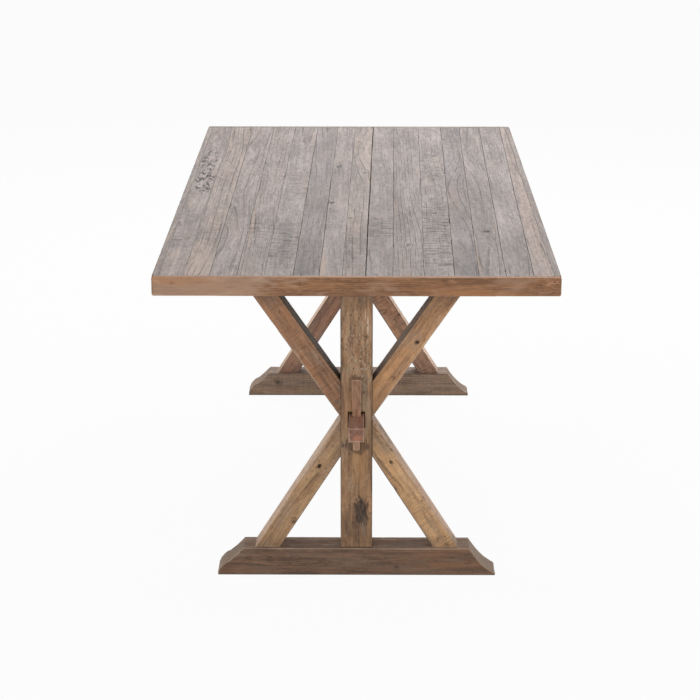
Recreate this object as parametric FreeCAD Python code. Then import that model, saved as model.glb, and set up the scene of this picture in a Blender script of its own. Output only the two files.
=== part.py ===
import FreeCAD, Part
import math
import os

# A trestle dining table with a planked top, sawbuck braces and a wedged stretcher.
# Millimetres, +Z up. The length lies along Y, with the front end at -Y, and the width along X.
# The origin is on the floor, under the middle of the top.

Vector = FreeCAD.Vector
ALONG_X = Vector(1, 0, 0)
ALONG_Y = Vector(0, 1, 0)
ALONG_Z = Vector(0, 0, 1)

# Top
table_height = 770.0
top_length = 1800.0
top_width = 900.0
board_thickness = 20.0
board_widths = (54.0, 58.0, 60.0, 60.0, 64.0, 57.0, 50.0, 52.0, 60.0, 70.0, 66.0, 54.0, 59.0, 61.0, 45.0)
board_lean = 30.0  # how far the joints drift to the right on their way to the rear end
board_arris = 1.0
band_height = 43.0
band_thickness = 15.0
band_arris = 2.0

# Batten across the middle of the top, underneath
batten_width = 70.0
batten_thickness = 22.0
batten_end_gap = 5.0

# Trestles: a foot, a bearer under the top, a post, and four half braces that meet at the post
end_overhang = 202.5  # from an end of the top to the middle of a trestle
foot_length = 655.0
foot_depth = 74.0
foot_height = 68.0
bearer_inset = 70.0  # from a side of the top to the end of a bearer
bearer_height = 68.0
nose_height = 9.0  # upright part of the shaped end
ogee_run = 61.5  # length of the shaped end
ogee_turn_run = 13.0  # where the bulge turns into the hollow, from the nose
ogee_turn_height = 20.0
ogee_bulge = 1.8
ogee_hollow = 3.6
post_width = 75.0
post_depth = 66.0
post_tenon_width = 40.0
post_tenon_depth = 25.0
post_tenon_length = 40.0
brace_width = 50.0
brace_depth = 58.0
brace_spread_low = 239.0  # from the middle to the outer corner of a brace, on the foot
brace_spread_high = 238.0  # the same, under the bearer
cross_height = 388.0  # where the braces aim
cross_gap = 5.0  # height of bare post between the upper and lower braces
member_arris = 2.0

# Stretcher and its through tenons
stretcher_height = 383.0  # of its middle, over the floor
rail_width = 45.0
rail_height = 90.0
tenon_width = 36.0
tenon_height = 34.0
tenon_reach = 107.0  # how far a tenon stands out of its post
tenon_chamfer = 3.0
mortise_side_gap = 2.0
mortise_top_gap = 5.0

# Wedge, tapered both ways, driven down through the tenon against the post
wedge_rise = 90.0  # above the tenon
wedge_drop = 51.0  # below the tenon
wedge_top_width = 23.0
wedge_bottom_width = 16.0
wedge_top_depth = 27.0
wedge_bottom_depth = 15.0
wedge_arris = 1.5
slot_relief = 6.0  # how far the slot reaches inside the post, so the wedge pulls on the post

# Dowels in the ends of the braces
dowel_diameter = 10.0
dowel_length = 36.0
dowel_spacing = 28.0

# Screws that hold the bearers and the batten to the boards
screw_shank = 4.5
screw_head = 9.0
screw_head_height = 3.0
screw_bite = 14.0  # how far a screw's point reaches into a board
bearer_screw_length = 50.0
batten_screw_length = 32.0
counterbore_margin = 1.0
screw_edge_margin = 8.0

# Fits
joint_clearance = 0.2  # round tenons, dowels and screws that stay put
mortise_end_gap = 2.0
dowel_end_gap = 1.0
screw_end_gap = 1.0
running_clearance = 0.3  # round a wedge
overcut = 1.0  # how far a cut runs past a face, so that it opens it cleanly

# Levels and faces that the pieces share
board_underside = table_height - board_thickness
bearer_underside = board_underside - bearer_height
boards_width = top_width - 2 * band_thickness
boards_length = top_length - 2 * band_thickness
trestle_place = top_length / 2 - end_overhang
bearer_length = top_width - 2 * bearer_inset
tenon_top = stretcher_height + tenon_height / 2
tenon_bottom = stretcher_height - tenon_height / 2


def box(low, high):
    """A block between two opposite corners."""
    size = [b - a for a, b in zip(low, high)]
    return Part.makeBox(*size, Vector(*low))


def prism(points, travel):
    """A closed outline of straight sides, carried along a vector."""
    outline = Part.makePolygon([Vector(*point) for point in points + points[:1]])
    return Part.Face(outline).extrude(travel)


def runs_along(edge, direction):
    """Whether a straight edge lies along a unit vector."""
    if len(edge.Vertexes) != 2:
        return False
    way = edge.Vertexes[1].Point - edge.Vertexes[0].Point
    return abs(way.dot(direction)) > 0.999 * way.Length


def ease_edges(solid, size, chosen):
    """Chamfer the edges that a test chooses."""
    return solid.makeChamfer(size, [edge for edge in solid.Edges if chosen(edge)])


def cylinder(diameter, start, travel):
    """A round bar from a point along a vector."""
    return Part.makeCylinder(diameter / 2, travel.Length, start, travel)


# Boards of the top

def joint_line(index, y):
    """Where the joint on the left of a board lies at y. The boards are ripped to fill the space between
    the bands, and the joints drift right towards the rear, most where they are far from the left."""
    if index == len(board_widths):
        return boards_width / 2
    ripping = (boards_width - sum(board_widths)) / len(board_widths)
    distance = sum(board_widths[:index]) + index * ripping
    share = distance / boards_width
    travelled = (y + boards_length / 2) / boards_length
    return distance - boards_width / 2 + board_lean * (1 - (1 - share) ** 2) * travelled


def board_middle(index, y):
    """The middle of a board's width at y."""
    return (joint_line(index, y) + joint_line(index + 1, y)) / 2


def make_board(index, screw_holes):
    """A full-length board, tapered in plan, its long upper edges eased, with its screw holes."""
    front, rear = -boards_length / 2, boards_length / 2
    corners = [(joint_line(index, front), front, board_underside),
               (joint_line(index + 1, front), front, board_underside),
               (joint_line(index + 1, rear), rear, board_underside),
               (joint_line(index, rear), rear, board_underside)]
    board = prism(corners, ALONG_Z * board_thickness)
    board = ease_edges(board, board_arris, lambda edge: (
        edge.BoundBox.ZMin > table_height - board_arris and edge.Length > boards_length / 2))
    for hole in screw_holes:
        board = board.cut(hole)
    return board


def make_bands():
    """The edge band: two across the ends at full width, and two along the sides between them."""
    underside = table_height - band_height
    half_length, half_width = top_length / 2, top_width / 2
    across = box((-half_width, -half_length, underside),
                 (half_width, -half_length + band_thickness, table_height))
    across = ease_edges(across, band_arris, lambda edge: (
        runs_along(edge, ALONG_X) and edge.BoundBox.YMax < -half_length + band_arris))
    beside = box((-half_width, -boards_length / 2, underside),
                 (-half_width + band_thickness, boards_length / 2, table_height))
    beside = ease_edges(beside, band_arris, lambda edge: (
        runs_along(edge, ALONG_Y) and edge.BoundBox.XMax < -half_width + band_arris))
    half_turn = (Vector(0, 0, 0), ALONG_Z, 180)
    return {"band_front": across, "band_rear": across.rotated(*half_turn),
            "band_left": beside, "band_right": beside.rotated(*half_turn)}


# Screws from below into the boards

def screw_seat(length):
    """The height of the underside of a screw's head."""
    return board_underside + screw_bite - length


def make_screw(length, x, y):
    """A flat-headed wood screw, its head down, its point inside a board."""
    seat = screw_seat(length)
    point = screw_shank  # the point is as long as the shank is thick
    shank = cylinder(screw_shank, Vector(x, y, seat), ALONG_Z * (length - point))
    tip = Part.makeCone(screw_shank / 2, 0, point, Vector(x, y, seat + length - point), ALONG_Z)
    head = cylinder(screw_head, Vector(x, y, seat - screw_head_height), ALONG_Z * screw_head_height)
    return head.fuse([shank, tip]).removeSplitter()


def make_screw_hole(length, x, y):
    """The room that a screw needs: a close hole for the shank, and a counterbore for the head that
    is deep enough to come out under the bearer or the batten."""
    seat = Vector(x, y, screw_seat(length))
    hole = cylinder(screw_shank + joint_clearance, seat, ALONG_Z * (length + screw_end_gap))
    depth = bearer_height + batten_thickness
    counterbore = cylinder(screw_head + 2 * counterbore_margin, seat, ALONG_Z * -depth)
    return hole.fuse(counterbore)


def bearer_screw_places(y):
    """Board index and x of each bearer screw: where the bearer is bare between post and braces."""
    brace_inner = brace_spread_high - brace_foot_width(True)
    places = []
    for index in range(len(board_widths)):
        x = board_middle(index, y)
        beside_post = post_width / 2 + screw_edge_margin < abs(x) < brace_inner - screw_edge_margin
        flat_end = bearer_length / 2 - ogee_run - screw_edge_margin
        beyond_brace = brace_spread_high + screw_edge_margin < abs(x) < flat_end
        if beside_post or beyond_brace:
            places.append((index, x))
    return places


def batten_half_length():
    """From the middle to an end of the batten, short of the side bands."""
    return boards_width / 2 - batten_end_gap


def batten_screw_places():
    """Board index and x of each batten screw: one in every board that the batten covers."""
    places = []
    for index in range(len(board_widths)):
        x = board_middle(index, 0)
        if abs(x) < batten_half_length() - screw_edge_margin:
            places.append((index, x))
    return places


def make_batten():
    """A flat strip across the underside of the boards, with a screw hole for each board."""
    half = batten_half_length()
    batten = box((-half, -batten_width / 2, board_underside - batten_thickness),
                 (half, batten_width / 2, board_underside))
    for index, x in batten_screw_places():
        batten = batten.cut(make_screw_hole(batten_screw_length, x, 0))
    return batten


# Trestle members, drawn in the XZ plane round the middle of their own depth

def arc_through(start, end, sag):
    """An arc between two points in the XZ plane that bulges by sag, outwards if positive."""
    start, end = Vector(*start), Vector(*end)
    chord = end - start
    outwards = Vector(-chord.z, 0, chord.x) / chord.Length
    middle = (start + end) / 2 + outwards * sag
    return Part.Arc(start, middle, end).toShape()


def make_shaped_bar(length):
    """A foot lying on the floor: flat below, its two ends shaped as an ogee above an upright nose."""
    half = length / 2
    nose, turn, shoulder = half, half - ogee_turn_run, half - ogee_run
    edges = [Part.makeLine(Vector(-nose, 0, 0), Vector(-nose, 0, nose_height)),
             arc_through((-nose, 0, nose_height), (-turn, 0, ogee_turn_height), ogee_bulge),
             arc_through((-turn, 0, ogee_turn_height), (-shoulder, 0, foot_height), -ogee_hollow),
             Part.makeLine(Vector(-shoulder, 0, foot_height), Vector(shoulder, 0, foot_height)),
             arc_through((shoulder, 0, foot_height), (turn, 0, ogee_turn_height), -ogee_hollow),
             arc_through((turn, 0, ogee_turn_height), (nose, 0, nose_height), ogee_bulge),
             Part.makeLine(Vector(nose, 0, nose_height), Vector(nose, 0, 0)),
             Part.makeLine(Vector(nose, 0, 0), Vector(-nose, 0, 0))]
    outline = Part.Wire(edges)
    outline.translate(Vector(0, -foot_depth / 2, 0))
    bar = Part.Face(outline).extrude(ALONG_Y * foot_depth)
    return ease_edges(bar, member_arris, lambda edge: (
        runs_along(edge, ALONG_X) and edge.BoundBox.ZMin > foot_height - member_arris))


def make_post():
    """A post with a stub tenon at each end and the stretcher's mortise. Its y is its own middle."""
    half_width, half_depth = post_width / 2, post_depth / 2
    post = box((-half_width, -half_depth, foot_height), (half_width, half_depth, bearer_underside))
    post = ease_edges(post, member_arris, lambda edge: runs_along(edge, ALONG_Z))
    tenons = box((-post_tenon_width / 2, -post_tenon_depth / 2, foot_height - post_tenon_length),
                 (post_tenon_width / 2, post_tenon_depth / 2, bearer_underside + post_tenon_length))
    mortise_half = tenon_width / 2 + mortise_side_gap
    mortise = box((-mortise_half, -half_depth - overcut, tenon_bottom),
                  (mortise_half, half_depth + overcut, tenon_top + mortise_top_gap))
    return post.fuse(tenons).removeSplitter().cut(mortise)


def post_mortise(low, high):
    """The blind mortise for a post's stub tenon, between two levels."""
    half_width = post_tenon_width / 2 + joint_clearance / 2
    half_depth = post_tenon_depth / 2 + joint_clearance / 2
    return box((-half_width, -half_depth, low), (half_width, half_depth, high))


# Half braces. The lower ones stand on the foot, the upper ones hang from the bearer.

def brace_line(upper):
    """The outer corner at the foot or bearer, and the outer corner at the post, as (x, z)."""
    if upper:
        return (brace_spread_high, bearer_underside), (post_width / 2, cross_height + cross_gap / 2)
    return (brace_spread_low, foot_height), (post_width / 2, cross_height - cross_gap / 2)


def brace_slope(upper):
    """The angle of a brace from the horizontal."""
    (x_end, z_end), (x_post, z_post) = brace_line(upper)
    return math.atan2(abs(z_post - z_end), x_end - x_post)


def brace_foot_width(upper):
    """A brace's width measured level, where it meets the foot or the bearer."""
    return brace_width / math.sin(brace_slope(upper))


def make_brace(side, upper, dowel_holes):
    """A half brace on one side of the post, cut level at one end and upright at the post."""
    (x_end, z_end), (x_post, z_post) = brace_line(upper)
    away = 1 if upper else -1
    post_height = brace_width / math.cos(brace_slope(upper))
    corners = [(x_end, z_end), (x_post, z_post), (x_post, z_post + away * post_height),
               (x_end - brace_foot_width(upper), z_end)]
    brace = prism([(side * x, -brace_depth / 2, z) for x, z in corners], ALONG_Y * brace_depth)
    way = Vector(side * (x_post - x_end), 0, z_post - z_end).normalize()
    brace = ease_edges(brace, member_arris, lambda edge: runs_along(edge, way))
    for hole in dowel_holes:
        brace = brace.cut(hole)
    return brace


def dowel_axes(side, upper):
    """The middle and direction of each dowel of a brace: two at the level end, two at the post."""
    (x_end, z_end), (x_post, z_post) = brace_line(upper)
    away = 1 if upper else -1
    slope = brace_slope(upper)
    half_grip = dowel_length / 4  # half of the length that is inside the brace
    level_x = x_end - brace_foot_width(upper) / 2 - half_grip / math.tan(slope)
    upright_z = z_post + away * (brace_width / math.cos(slope) / 2 + half_grip * math.tan(slope))
    axes = []
    for y in (-dowel_spacing / 2, dowel_spacing / 2):
        axes.append((Vector(side * level_x, y, z_end), ALONG_Z))
        axes.append((Vector(side * x_post, y, upright_z), ALONG_X))
    return axes


def make_dowels(side, upper, diameter, length):
    """A brace's four dowels, or the holes for them."""
    return [cylinder(diameter, middle - direction * (length / 2), direction * length)
            for middle, direction in dowel_axes(side, upper)]


def make_dowel_holes(side, upper):
    """Holes a little wider and longer than the dowels."""
    return make_dowels(side, upper, dowel_diameter + joint_clearance, dowel_length + 2 * dowel_end_gap)


# Stretcher and wedges

def wedge_size(z):
    """A wedge's width and depth at a height."""
    top, bottom = tenon_top + wedge_rise, tenon_bottom - wedge_drop
    share = (z - bottom) / (top - bottom)
    width = wedge_bottom_width + share * (wedge_top_width - wedge_bottom_width)
    depth = wedge_bottom_depth + share * (wedge_top_depth - wedge_bottom_depth)
    return width, depth


def wedge_face(side):
    """The y of a wedge's face towards the post, at the front (-1) or rear (+1) end."""
    return side * (trestle_place + post_depth / 2 + running_clearance)


def make_wedge(side):
    """A wedge: its face to the post is upright, its outer face and both flanks are tapered."""
    inner = wedge_face(side)
    sections = []
    for z in (tenon_bottom - wedge_drop, tenon_top + wedge_rise):
        width, depth = wedge_size(z)
        outer = inner + side * depth
        corners = [Vector(-width / 2, inner, z), Vector(width / 2, inner, z),
                   Vector(width / 2, outer, z), Vector(-width / 2, outer, z)]
        sections.append(Part.makePolygon(corners + corners[:1]))
    wedge = Part.makeLoft(sections, True, True)
    return ease_edges(wedge, wedge_arris, lambda edge: edge.BoundBox.ZLength < wedge_arris)


def make_slot(side):
    """The slot through a tenon: it starts inside the post and its far wall follows the wedge."""
    inner = side * (trestle_place + post_depth / 2 - slot_relief)
    half_width = wedge_size(tenon_top)[0] / 2 + running_clearance
    points = []
    for z in (tenon_bottom, tenon_top):
        outer = wedge_face(side) + side * (wedge_size(z)[1] + running_clearance)
        points += [(inner, z), (outer, z)]
    order = [points[0], points[1], points[3], points[2]]
    return prism([(-half_width, y, z) for y, z in order], ALONG_X * 2 * half_width)


def make_stretcher():
    """A rail between the posts with a shouldered tenon through each, slotted for its wedge."""
    shoulder = trestle_place - post_depth / 2
    tip = trestle_place + post_depth / 2 + tenon_reach
    tenons = box((-tenon_width / 2, -tip, tenon_bottom), (tenon_width / 2, tip, tenon_top))
    tenons = ease_edges(tenons, tenon_chamfer, lambda edge: edge.BoundBox.YLength < tenon_chamfer)
    rail = box((-rail_width / 2, -shoulder, stretcher_height - rail_height / 2),
               (rail_width / 2, shoulder, stretcher_height + rail_height / 2))
    rail = ease_edges(rail, member_arris, lambda edge: runs_along(edge, ALONG_Y))
    stretcher = rail.fuse(tenons).removeSplitter()
    for side in (-1, 1):
        stretcher = stretcher.cut(make_slot(side))
    return stretcher


# Assembly

def make_trestle(name, side):
    """One trestle's pieces at its place, and its dowels and screws."""
    y = side * trestle_place
    foot = make_shaped_bar(foot_length)
    foot = foot.cut(post_mortise(foot_height - post_tenon_length - mortise_end_gap,
                                 foot_height + overcut))
    bearer = make_shaped_bar(bearer_length)
    bearer = bearer.rotated(Vector(0, 0, 0), ALONG_Y, 180)
    bearer.translate(ALONG_Z * board_underside)
    bearer = bearer.cut(post_mortise(bearer_underside - overcut,
                                     bearer_underside + post_tenon_length + mortise_end_gap))
    for index, x in bearer_screw_places(y):
        bearer = bearer.cut(make_screw_hole(bearer_screw_length, x, 0))
    post = make_post()
    pieces = {}
    dowels = []
    for level in ("lower", "upper"):
        upper = level == "upper"
        for hand, across in (("left", -1), ("right", 1)):
            holes = make_dowel_holes(across, upper)
            pieces["brace_%s_%s_%s" % (name, level, hand)] = make_brace(across, upper, holes)
            dowels += make_dowels(across, upper, dowel_diameter, dowel_length)
            for hole in holes:
                foot, bearer, post = foot.cut(hole), bearer.cut(hole), post.cut(hole)
    pieces["foot_" + name] = foot
    pieces["bearer_" + name] = bearer
    pieces["post_" + name] = post
    for shape in list(pieces.values()) + dowels:
        shape.translate(ALONG_Y * y)
    screws = [make_screw(bearer_screw_length, x, y) for index, x in bearer_screw_places(y)]
    return pieces, dowels, screws


def make_boards():
    """Every board of the top, each with the holes for its own screws."""
    holes = {index: [] for index in range(len(board_widths))}
    for y in (-trestle_place, trestle_place):
        for index, x in bearer_screw_places(y):
            holes[index].append(make_screw_hole(bearer_screw_length, x, y))
    for index, x in batten_screw_places():
        holes[index].append(make_screw_hole(batten_screw_length, x, 0))
    return {"top_board_%02d" % (index + 1): make_board(index, holes[index]) for index in holes}


def make_table():
    """Every piece of the table by name."""
    pieces = make_boards()
    pieces.update(make_bands())
    pieces["batten_middle"] = make_batten()
    dowels, bearer_screws = [], []
    for name, side in (("front", -1), ("rear", 1)):
        trestle, trestle_dowels, trestle_screws = make_trestle(name, side)
        pieces.update(trestle)
        dowels += trestle_dowels
        bearer_screws += trestle_screws
        pieces["wedge_" + name] = make_wedge(side)
    pieces["stretcher"] = make_stretcher()
    pieces["brace_dowels"] = Part.makeCompound(dowels)
    pieces["bearer_screws"] = Part.makeCompound(bearer_screws)
    batten_screws = [make_screw(batten_screw_length, x, 0) for index, x in batten_screw_places()]
    pieces["batten_screws"] = Part.makeCompound(batten_screws)
    return pieces


os.makedirs("parts", exist_ok=True)
for node, shape in make_table().items():
    shape.exportStep("parts/%s.step" % node)
    print("%-28s solids %2d  valid %s  volume %10.0f mm3" %
          (node, len(shape.Solids), shape.isValid(), shape.Volume))
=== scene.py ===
import math

import bpy
import numpy as np
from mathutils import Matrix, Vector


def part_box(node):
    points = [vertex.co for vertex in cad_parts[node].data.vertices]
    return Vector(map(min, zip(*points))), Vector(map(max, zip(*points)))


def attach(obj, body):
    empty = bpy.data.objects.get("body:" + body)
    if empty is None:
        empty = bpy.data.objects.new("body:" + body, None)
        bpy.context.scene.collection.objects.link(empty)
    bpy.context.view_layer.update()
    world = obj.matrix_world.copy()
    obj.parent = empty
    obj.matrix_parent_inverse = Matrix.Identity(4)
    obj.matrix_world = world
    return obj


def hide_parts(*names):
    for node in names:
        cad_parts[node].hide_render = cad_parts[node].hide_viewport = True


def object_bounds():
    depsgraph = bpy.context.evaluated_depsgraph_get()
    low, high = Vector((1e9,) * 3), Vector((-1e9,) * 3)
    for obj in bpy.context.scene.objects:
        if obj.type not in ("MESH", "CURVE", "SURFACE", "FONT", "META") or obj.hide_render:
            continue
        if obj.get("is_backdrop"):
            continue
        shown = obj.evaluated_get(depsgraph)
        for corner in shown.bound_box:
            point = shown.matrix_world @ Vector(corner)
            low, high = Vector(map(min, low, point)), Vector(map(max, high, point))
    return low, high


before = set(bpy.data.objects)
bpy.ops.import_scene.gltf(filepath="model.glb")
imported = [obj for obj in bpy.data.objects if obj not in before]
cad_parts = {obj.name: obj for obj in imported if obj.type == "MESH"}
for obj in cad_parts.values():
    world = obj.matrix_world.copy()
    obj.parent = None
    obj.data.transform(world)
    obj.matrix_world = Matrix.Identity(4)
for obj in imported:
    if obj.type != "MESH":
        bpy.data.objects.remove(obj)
cad_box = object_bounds()


# ---- Feet ----------------------------------------------------------------------------------------
# Each trestle stands on a bar of old softwood. Its ends are sawn to an ogee, a bulge under a hollow, and are
# worn pale where shoes and brooms have rubbed them. The post's tenon is glued into its top, and two braces
# are dowelled to it.

PER_METRE = 1000.0  # sizes below are in millimetres, and become metres as each mesh is made


def timber_box(node):
    """The lowest and the highest corner of a solid of the frame, in millimetres."""
    return tuple(np.array(corner) * PER_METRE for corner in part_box(node))


def step(value, low, high):
    """0 up to low, 1 from high on, with a smooth cubic step between."""
    share = np.clip((value - low) / (high - low), 0.0, 1.0)
    return share * share * (3.0 - 2.0 * share)


def noise(seed, points, across, along):
    """A smooth random field between -1 and 1. Numbers on a cubic lattice, drawn out along the grain, are
    blended between the eight corners of each cell with a cubic step. The lattice repeats after size cells."""
    size = 32
    table = np.random.default_rng(seed).uniform(-1.0, 1.0, (size, size, size))
    spot = points / np.array([across, across, along])
    cell = np.floor(spot).astype(int)
    share = step(spot - cell, 0.0, 1.0)
    total = np.zeros(points.shape[:-1])
    for corner in np.ndindex(2, 2, 2):
        weight = np.prod(np.where(corner, share, 1.0 - share), axis=-1)
        index = (cell + corner) % size
        total += weight * table[index[..., 0], index[..., 1], index[..., 2]]
    return total


def section_ring(counts, corner_steps=3):
    """One turn round the section of a bar: for each point its place on the square from -1 to 1, and the
    direction in which the rounding of the arris carries it out. counts has the points on each of the four
    faces."""
    corners = np.array([(1, -1), (1, 1), (-1, 1), (-1, -1), (1, -1)], float)
    places, headings = [], []
    for face, count in enumerate(counts):
        share = np.linspace(0.0, 1.0, count)[:, None]
        turn = np.arange(1, corner_steps + 1) / (corner_steps + 1)
        places += [corners[face] * (1 - share) + corners[face + 1] * share]
        places += [corners[[face + 1] * corner_steps]]
        headings += [np.full(count, face), face + turn]
    heading = np.concatenate(headings) * math.pi / 2
    return np.concatenate(places), np.stack([np.cos(heading), np.sin(heading)], 1)


def carry(stations, outline, counts, arris, end_arris, start, stop):
    """Carries a rectangle with rounded corners from the start of a bar to its end, and closes both ends with
    rings that grow from one point. stations are shares of the length, outline gives the four edges at each of
    them, and start and stop tell where each end is cut at a place in the section. Returns the points in the
    bar's own axes a, b and g, with g along the grain, and each point's distances from the faces."""
    place, out = section_ring(counts)
    shrink = np.array([0.0, 0.3, 0.6, 0.85, 1.0, 1.0, 1.0])
    inset = np.array([1.0, 1.0, 1.0, 1.0, 1.0, 0.3, 0.0]) * end_arris
    advance = np.array([0.0, 0.0, 0.0, 0.0, 0.0, 0.3, 1.0]) * end_arris
    inner = stations[1:-1]
    middle = np.zeros(len(inner))
    cap = len(shrink)
    share = np.concatenate([np.full(cap, stations[0]), inner, np.full(cap, stations[-1])])[:, None]
    inset = np.concatenate([inset, middle, inset[::-1]])[:, None]
    shrink = np.concatenate([shrink, middle + 1.0, shrink[::-1]])[:, None]
    advance = np.concatenate([advance, middle, -advance[::-1]])[:, None]
    low_a, high_a, low_b, high_b = outline(share, place)
    half_a, half_b = (high_a - low_a) / 2, (high_b - low_b) / 2
    mid_a, mid_b = (high_a + low_a) / 2, (high_b + low_b) / 2
    a = mid_a + shrink * (place[:, 0] * (half_a - inset - arris) + out[:, 0] * arris)
    b = mid_b + shrink * (place[:, 1] * (half_b - inset - arris) + out[:, 1] * arris)
    first, last = start(a, b), stop(a, b)
    g = first + (last - first) * share + advance
    points = np.stack(np.broadcast_arrays(a, b, g), -1)
    from_faces = (half_a - np.abs(a - mid_a), half_b - np.abs(b - mid_b), np.minimum(g - first, last - g))
    return points, np.stack(np.broadcast_arrays(*from_faces), -1)


def outward(points):
    """The outward direction at each point of a carried bar: the cross product of the step round the section
    and the step along the bar, and the bar's own direction at the middle of each end."""
    around = np.roll(points, -1, axis=1) - np.roll(points, 1, axis=1)
    along = np.gradient(points, axis=0)
    normal = np.cross(around, along)
    normal[0], normal[-1] = (0.0, 0.0, -1.0), (0.0, 0.0, 1.0)
    return normal / np.maximum(np.linalg.norm(normal, axis=-1, keepdims=True), 1e-9)


def soft_patches(points, patches):
    """A mask that has a patch's strength in its middle and falls off ragged to 0 at its rim. A patch is (a,
    b, g, half size in a, half size in g, strength), and reaches a little way into the bar."""
    reach_in = 12.0
    ragged = 1.0 + 0.3 * noise(71, points, 6.0, 15.0) + 0.3 * noise(72, points, 17.0, 45.0)
    mask = np.zeros(points.shape[:-1])
    for a, b, g, half_a, half_g, strength in patches:
        offset = (points - np.array([a, b, g])) / np.array([half_a, reach_in, half_g])
        mask = np.maximum(mask, strength * (1.0 - step(np.linalg.norm(offset, axis=-1) * ragged, 0.5, 1.1)))
    return mask


def weather(points, from_faces, axes, seed, pith, ring_gap=4.6, knots=(), marks=(), wear=3.0, rough=1.0,
            sheltered_and_shaded=0.0):
    """What growth and age have made of a bar's surface, and the shade painted along some arrises. Returns how
    deep each point lies under the planed face, in millimetres, and the fields that the finish reads: growth
    counts the rings from the pith, bent round the knots and warped, dark is the grime in knots, dents and
    stains together with painted shade along some arrises and in a few marks, worn the rubbed arrises, cut how
    far the face lies across the grain, and open how far it faces up. A knot is (a, b, g, radius, hollow) and
    a mark (a, b, g, half width, half length, lean in degrees, depth, darkness). Where the last argument is 1
    the arrises aren't rubbed, and are darkened as painted shade."""
    normal = outward(points)
    shifted = points.copy()
    knotted, knot_rings, hollow = np.zeros((3, *points.shape[:-1]))
    for a, b, g, radius, depth in knots:
        offset = points - np.array([a, b, g])
        reach = np.linalg.norm(offset / np.array([1.0, 1.0, 2.6]), axis=-1)
        shifted[..., :2] -= offset[..., :2] * np.exp(-0.5 * (reach / (1.5 * radius)) ** 2)[..., None]
        near = np.linalg.norm(offset * np.array([1.0, 1.0, 0.8]), axis=-1)
        inside = 1.0 - step(near, 0.8 * radius, 1.15 * radius)
        knotted = np.maximum(knotted, inside)
        knot_rings += inside * near / 1.5
        hollow += depth * inside
    warp_a = 9.0 * noise(seed, points, 80.0, 520.0) + 1.6 * noise(seed + 1, points, 22.0, 110.0)
    warp_b = 9.0 * noise(seed + 2, points, 80.0, 520.0)
    growth = np.hypot(shifted[..., 0] - pith[0] + warp_a, shifted[..., 1] - pith[1] + warp_b) / ring_gap
    growth = growth * (1.0 - knotted) + knot_rings
    dark = (0.6 + 0.15 * hollow) * knotted * step(noise(seed + 3, points, 3.0, 4.0), -0.9, 0.5)
    ragged = 1.0 + 0.45 * noise(seed + 4, points, 3.0, 7.0)
    for a, b, g, half_width, half_length, lean, depth, darkness in marks:
        da, db, dg = np.moveaxis(points - np.array([a, b, g]), -1, 0)
        tilt = math.radians(lean)
        across = np.hypot(da * math.cos(tilt) - dg * math.sin(tilt), db) / half_width
        along = (da * math.sin(tilt) + dg * math.cos(tilt)) / half_length
        inside = 1.0 - step(np.hypot(across, along) * ragged, 0.6, 1.08)
        hollow += depth * inside
        dark = np.maximum(dark, darkness * inside * (0.75 + 0.25 * noise(seed + 4, points, 5.0, 12.0)))
    edge = np.sort(from_faces, axis=-1)[..., 1]
    rub = 0.5 + 0.5 * noise(seed + 5, points, 14.0, 60.0)
    worn = (1.0 - step(edge, 0.3, wear * (0.55 + 0.7 * rub))) * (0.35 + 0.65 * rub) * (1.0 - sheltered_and_shaded)
    # painted shade: the arrises that the last argument marks are darkened
    dark = np.maximum(dark, sheltered_and_shaded * (0.4 + 0.35 * rub) * (1.0 - step(edge, 0.8, 3.0)))
    chipped = step(noise(seed + 6, points, 5.0, 16.0), 0.45, 0.8) * (1.0 - step(edge, 0.5, 4.0))
    wave = 0.5 + 0.5 * noise(seed + 7, points, 40.0, 230.0)
    hand = 0.5 + 0.5 * noise(seed + 8, points, 8.0, 45.0)
    ridge = 0.5 + 0.5 * np.sin(growth * 2.0 * math.pi)
    depth = rough * (0.4 * wave + 0.16 * hand + 0.08 * ridge + 0.9 * chipped) + hollow
    cut = step(np.abs(normal[..., 2]), 0.25, 0.8)
    up = step((normal @ np.array(axes, float))[..., 2], 0.15, 0.6)
    return depth, {"growth": growth, "dark": dark, "worn": worn, "cut": cut, "open": up}


def make_piece(node, points, depth, fields, axes, origin):
    """Sinks each point of a carried bar by its depth, places the bar by its axes and origin, and makes the
    closed mesh: the rings are joined by quads, and each end's innermost ring is one point."""
    name = "visual_" + node
    placed = (points - outward(points) * depth[..., None]) @ np.array(axes, float) + np.array(origin, float)
    rings, around = placed.shape[:2]
    keep = np.concatenate([[0], np.arange(around, (rings - 1) * around + 1)])
    near = np.clip(np.arange(rings * around) - around + 1, 0, len(keep) - 1).reshape(rings, around)
    beside = np.roll(near, -1, axis=1)
    quads = np.stack([near[1:-2], beside[1:-2], beside[2:-1], near[2:-1]], -1).reshape(-1, 4)
    first = np.stack([near[0], beside[1], near[1]], -1)
    last = np.stack([near[-2], beside[-2], near[-1]], -1)
    turned = -1 if np.linalg.det(np.array(axes, float)) < 0 else 1
    faces = [face for part in (quads, first, last) for face in part[:, ::turned].tolist()]
    mesh = bpy.data.meshes.new(name)
    mesh.from_pydata(placed.reshape(-1, 3)[keep] / PER_METRE, [], faces)
    mesh.polygons.foreach_set("use_smooth", np.ones(len(mesh.polygons), bool))
    for field, values in fields.items():
        kept = np.broadcast_to(values, (rings, around)).reshape(-1)[keep]
        mesh.attributes.new(field, "FLOAT", "POINT").data.foreach_set("value", kept.astype(np.float32))
    piece = bpy.data.objects.new(name, mesh)
    bpy.context.scene.collection.objects.link(piece)
    return piece


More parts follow.
